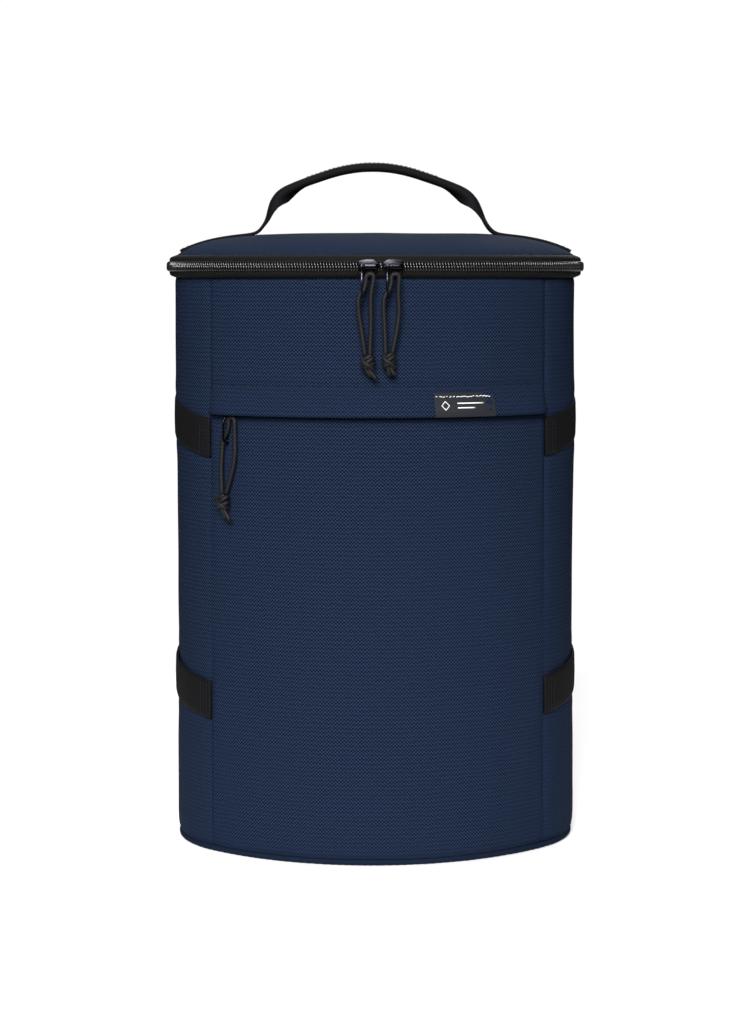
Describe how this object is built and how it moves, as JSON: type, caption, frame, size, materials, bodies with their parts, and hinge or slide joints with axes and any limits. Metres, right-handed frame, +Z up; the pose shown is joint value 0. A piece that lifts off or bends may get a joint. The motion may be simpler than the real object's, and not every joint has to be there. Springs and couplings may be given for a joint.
{
  "type": "insulated cooler bag",
  "caption": "Oval soft cooler bag with foam walls, a domed lid zipped round the rim, a zipped front pocket, side straps and a folded webbing handle.",
  "frame": {"origin": "middle of the base, on the surface that the bag stands on", "axes": "+Z up, -Y out of the front with the pocket, X across the bag, +X to the right as seen from the front"},
  "size_m": [0.2764, 0.1988, 0.4458],
  "materials": {
    "navy_fabric": "plain woven polyester, matt with a slight sheen",
    "base_fabric": "coated woven polyester, matt",
    "navy_piping": "bias binding over cord",
    "lining_fabric": "thin woven lining",
    "foam": "closed-cell foam, matt",
    "board": "polyethylene board",
    "liner_film": "silver film, semi-gloss",
    "binding_tape": "woven binding tape",
    "zip_tape": "knitted zip tape",
    "zip_coil": "nylon coil",
    "slider_metal": "black nickel plated zinc casting",
    "puller_metal": "black nickel plated steel",
    "cord": "braided polyester cord",
    "label_weave": "damask woven label",
    "webbing": "ribbed polyester webbing"
  },
  "bodies": {
    "bag": {"back_panel": "navy_fabric", "base_board": "board", "base_foam": "foam", "base_panel": "base_fabric", "base_piping": "navy_piping", "front_panel": "navy_fabric", "label": "label_weave", "lid_hinge_panel": "navy_fabric", "liner_floor": "liner_film", "liner_wall": "liner_film", "pocket_backing": "lining_fabric", "pocket_panel": "navy_fabric", "pocket_zip_coil_lower": "zip_coil", "pocket_zip_coil_upper": "zip_coil", "pocket_zip_tape_lower": "zip_tape", "pocket_zip_tape_upper": "zip_tape", "rim_binding": "binding_tape", "side_panel_left": "navy_fabric", "side_panel_right": "navy_fabric", "strap_lower_left": "webbing", "strap_lower_right": "webbing", "strap_upper_left": "webbing", "strap_upper_right": "webbing", "wall_foam": "foam", "zip_coil_body": "zip_coil", "zip_tab_left": "binding_tape", "zip_tab_right": "binding_tape", "zip_tape_body": "zip_tape"},
    "lid": {"handle_end_left": "webbing", "handle_end_right": "webbing", "lid_binding": "binding_tape", "lid_foam": "foam", "lid_liner": "liner_film", "lid_panel": "navy_fabric", "zip_coil_lid": "zip_coil", "zip_tape_lid": "zip_tape"},
    "handle": {"handle_grip": "webbing"},
    "slider_left": {"zip_slider_left": "slider_metal"},
    "slider_right": {"zip_slider_right": "slider_metal"},
    "slider_pocket": {"zip_slider_pocket": "slider_metal"},
    "pull_left": {"puller_left": "puller_metal", "pull_cord_left": "cord", "pull_knot_left": "cord"},
    "pull_right": {"puller_right": "puller_metal", "pull_cord_right": "cord", "pull_knot_right": "cord"},
    "pull_pocket": {"puller_pocket": "puller_metal", "pull_cord_pocket": "cord", "pull_knot_pocket": "cord"}
  },
  "joints": [
    {"name": "lid_hinge", "type": "hinge", "parent": "bag", "child": "lid", "pos_m": [0, 0.092, 0.378], "axis": [-1, 0, 0], "range_deg": [0, 110], "deforming": ["lid_hinge_panel"]},
    {"name": "handle_flop", "type": "hinge", "parent": "lid", "child": "handle", "pos_m": [0, 0, 0.402], "axis": [1, 0, 0], "range_deg": [-50, 50], "deforming": ["handle_end_left", "handle_end_right"]},
    {"name": "rim_zip_left", "type": "hinge", "parent": "bag", "child": "slider_left", "pos_m": [0, 0.073, 0.378], "axis": [0, 0, -1], "range_deg": [0, 33]},
    {"name": "rim_zip_right", "type": "hinge", "parent": "bag", "child": "slider_right", "pos_m": [0, 0.073, 0.378], "axis": [0, 0, 1], "range_deg": [0, 33]},
    {"name": "pocket_zip", "type": "hinge", "parent": "bag", "child": "slider_pocket", "pos_m": [0, 0.073, 0.287], "axis": [0, 0, 1], "range_deg": [0, 70]},
    {"name": "puller_left_swing", "type": "hinge", "parent": "slider_left", "child": "pull_left", "pos_m": [-0.01165, -0.10201, 0.378], "axis": [-0.999, 0.0436, 0], "range_deg": [0, 150]},
    {"name": "puller_right_swing", "type": "hinge", "parent": "slider_right", "child": "pull_right", "pos_m": [0.00405, -0.10234, 0.378], "axis": [-0.999, -0.0436, 0], "range_deg": [0, 150]},
    {"name": "puller_pocket_swing", "type": "hinge", "parent": "slider_pocket", "child": "pull_pocket", "pos_m": [-0.09741, -0.06406, 0.287], "axis": [-0.8151, 0.5793, 0], "range_deg": [0, 15]}
  ]
}
